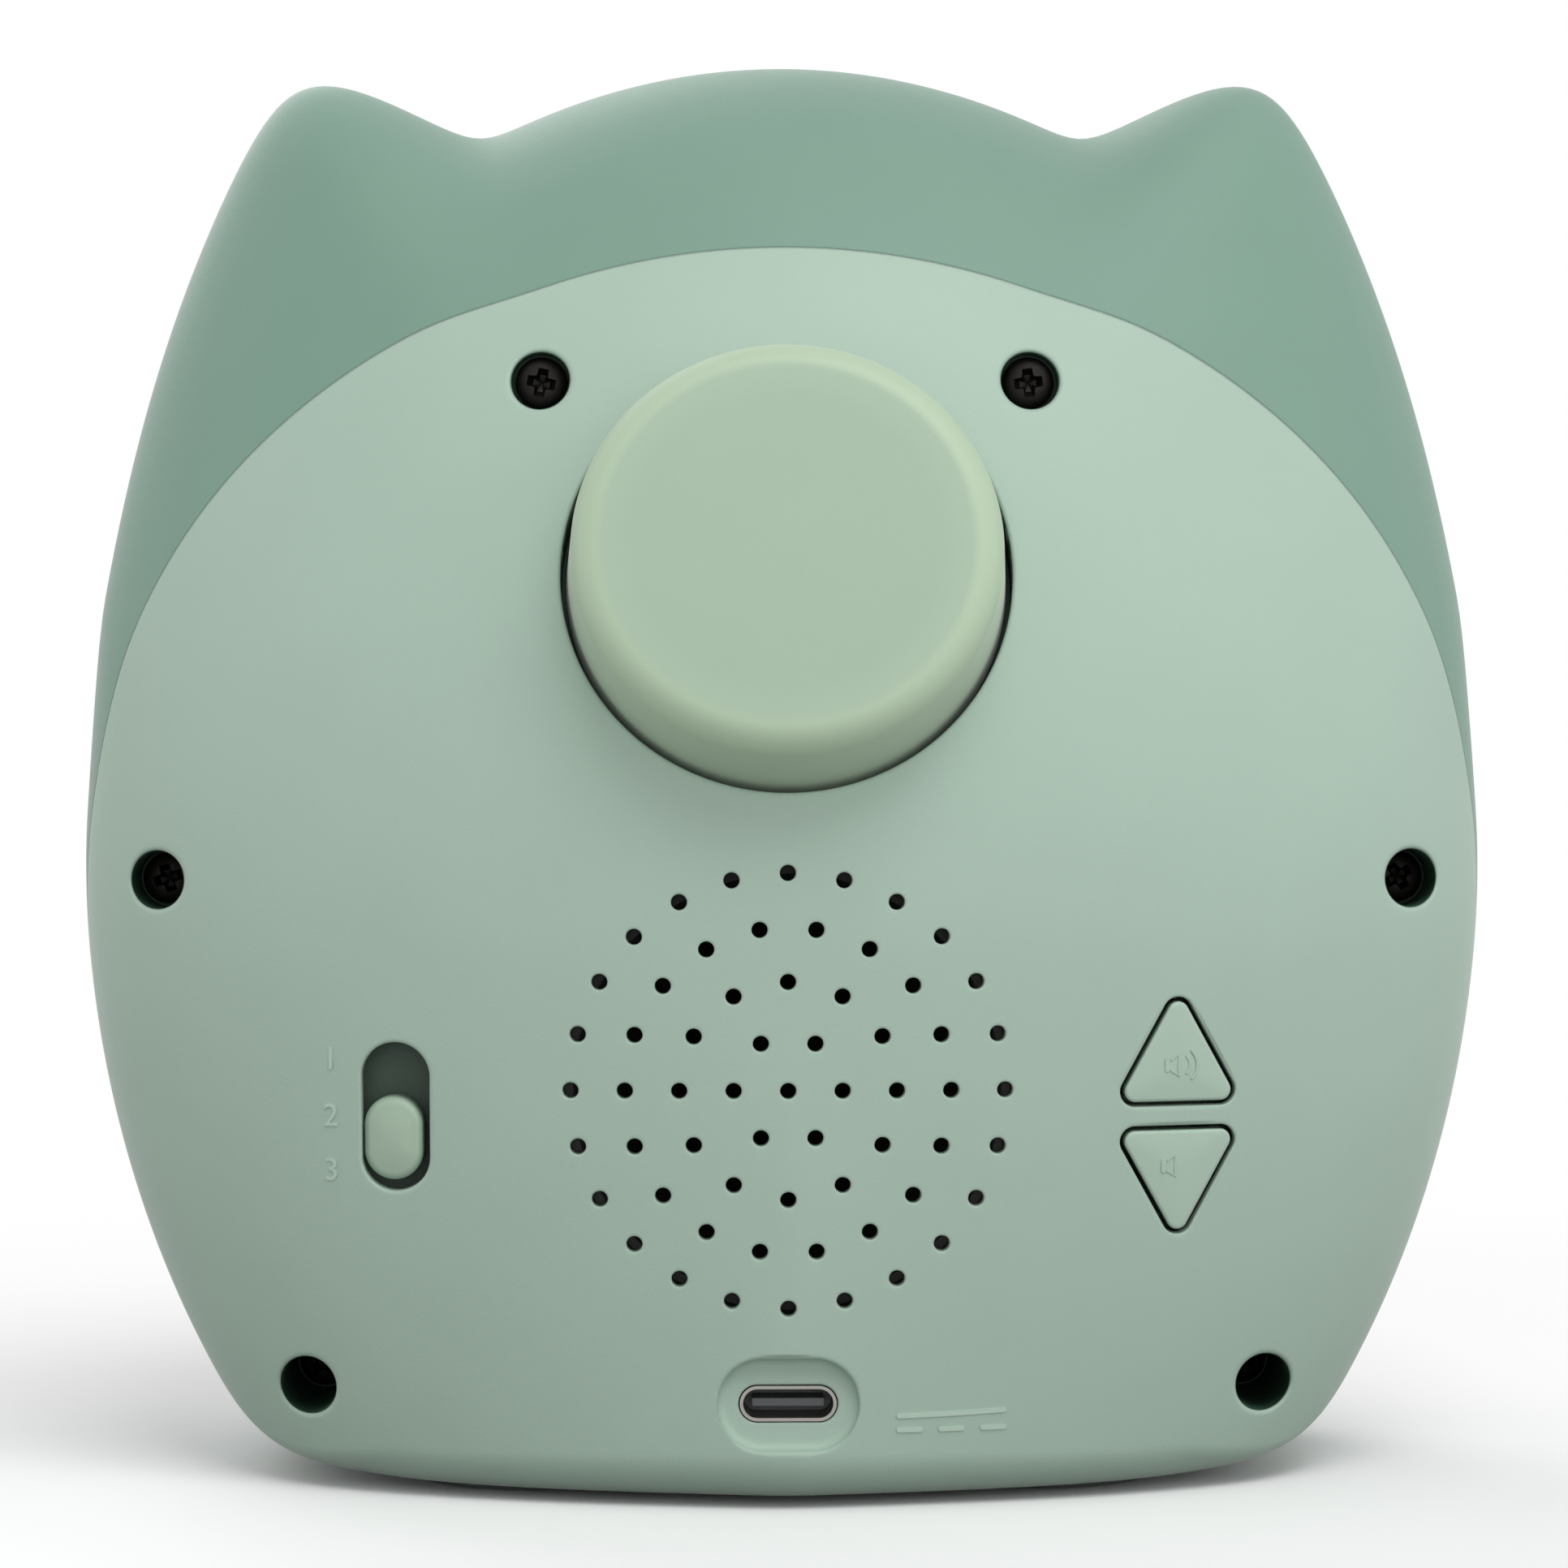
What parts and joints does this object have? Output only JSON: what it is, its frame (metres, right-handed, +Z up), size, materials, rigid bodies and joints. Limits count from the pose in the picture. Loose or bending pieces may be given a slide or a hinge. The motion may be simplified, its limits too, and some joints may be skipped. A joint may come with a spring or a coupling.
{
  "type": "alarm clock",
  "caption": "Eared night-light alarm clock seen from its control side: tilted push dial, speaker grille, slide switch, volume buttons and a power inlet in a two-part case on a base pad.",
  "frame": {"origin": "middle of the base on the standing surface, midway between the widest flat of the control side and the front", "axes": "+Z up, -Y out of the lit front, +Y out of the control side with the dial, +X towards the slide switch"},
  "size_m": [0.1378, 0.0816, 0.1397],
  "materials": {
    "light_shell": "moulded ABS with a soft-touch matte coat",
    "hood_shell": "moulded ABS with a soft-touch matte coat",
    "dial_cap": "moulded ABS, fine spark-eroded matte",
    "switch_cap": "moulded ABS, matte",
    "volume_buttons": "moulded ABS, matte",
    "opal": "opal polycarbonate, matte",
    "window": "smoked acrylic, polished",
    "face_trim": "moulded ABS, polished",
    "white_inner": "moulded ABS, matte white",
    "white_board": "glass-epoxy board, white solder mask",
    "leds": "moulded LED package with phosphor",
    "green_board": "glass-epoxy board, green solder mask",
    "black_part": "black moulded epoxy or nylon",
    "digits": "light-guiding segment fill",
    "switch_dark": "moulded nylon, dark green",
    "plunger_grey": "moulded acetal",
    "steel": "zinc-plated steel",
    "black_steel": "black-oxide steel",
    "can": "aluminium can",
    "tongue": "moulded LCP",
    "foam": "foam rubber",
    "cone": "pressed paper cone",
    "feet": "moulded silicone rubber",
    "leads": "PVC-insulated wire"
  },
  "bodies": {
    "case": {"rear_shell": "light_shell", "hood": "hood_shell", "diffuser": "opal", "display_window": "window", "left_eye": "face_trim", "right_eye": "face_trim", "nose": "face_trim", "chassis": "white_inner", "led_board": "white_board", "night_light_leds": "leds", "display_board": "green_board", "display_module": "black_part", "display_digits": "digits", "main_board": "green_board", "control_chip": "black_part", "sound_chip": "black_part", "cell_holder": "black_part", "backup_cell": "steel", "filter_capacitor": "can", "board_screws": "steel", "usb_board": "green_board", "usb_shell": "steel", "usb_tongue": "tongue", "usb_screws": "steel", "speaker_gasket": "foam", "speaker_basket": "steel", "speaker_cone": "cone", "speaker_magnet": "steel", "speaker_retainer": "white_inner", "speaker_screws": "steel", "switch_board": "green_board", "slide_switch_body": "switch_dark", "button_board": "green_board", "volume_up_switch": "black_part", "volume_down_switch": "black_part", "control_screws": "steel", "encoder_bushing": "steel", "encoder_body": "black_part", "encoder_board": "green_board", "encoder_washer": "steel", "encoder_nut": "steel", "case_screws": "black_steel", "chassis_screws": "steel", "base_pad": "feet", "speaker_leads": "leads", "power_leads": "leads"},
    "push_plate": {"encoder_plunger": "plunger_grey"},
    "dial": {"encoder_shaft": "steel", "dial_knob": "dial_cap"},
    "switch_slider": {"slide_switch_cap": "switch_cap", "slide_switch_shutter": "switch_dark"},
    "volume_up": {"volume_up_button": "volume_buttons", "volume_up_plunger": "plunger_grey"},
    "volume_down": {"volume_down_button": "volume_buttons", "volume_down_plunger": "plunger_grey"}
  },
  "joints": [
    {"name": "dial_press", "type": "slide", "parent": "case", "child": "push_plate", "axis": [0, -0.9613, -0.2756], "range_m": [0, 0.0005], "stiffness_N_per_m": 1600, "springref_m": -0.0004},
    {"name": "dial_turn", "type": "hinge", "parent": "push_plate", "child": "dial", "pos_m": [0, 0.0316, 0.087], "axis": [0, 0.9613, 0.2756], "continuous": true},
    {"name": "light_switch_slide", "type": "slide", "parent": "case", "child": "switch_slider", "axis": [0, 0, 1], "range_m": [0, 0.004]},
    {"name": "volume_up_press", "type": "slide", "parent": "case", "child": "volume_up", "axis": [0, -1, 0], "range_m": [0, 0.0004], "stiffness_N_per_m": 1500, "springref_m": -0.0003},
    {"name": "volume_down_press", "type": "slide", "parent": "case", "child": "volume_down", "axis": [0, -1, 0], "range_m": [0, 0.0004], "stiffness_N_per_m": 1500, "springref_m": -0.0003}
  ]
}
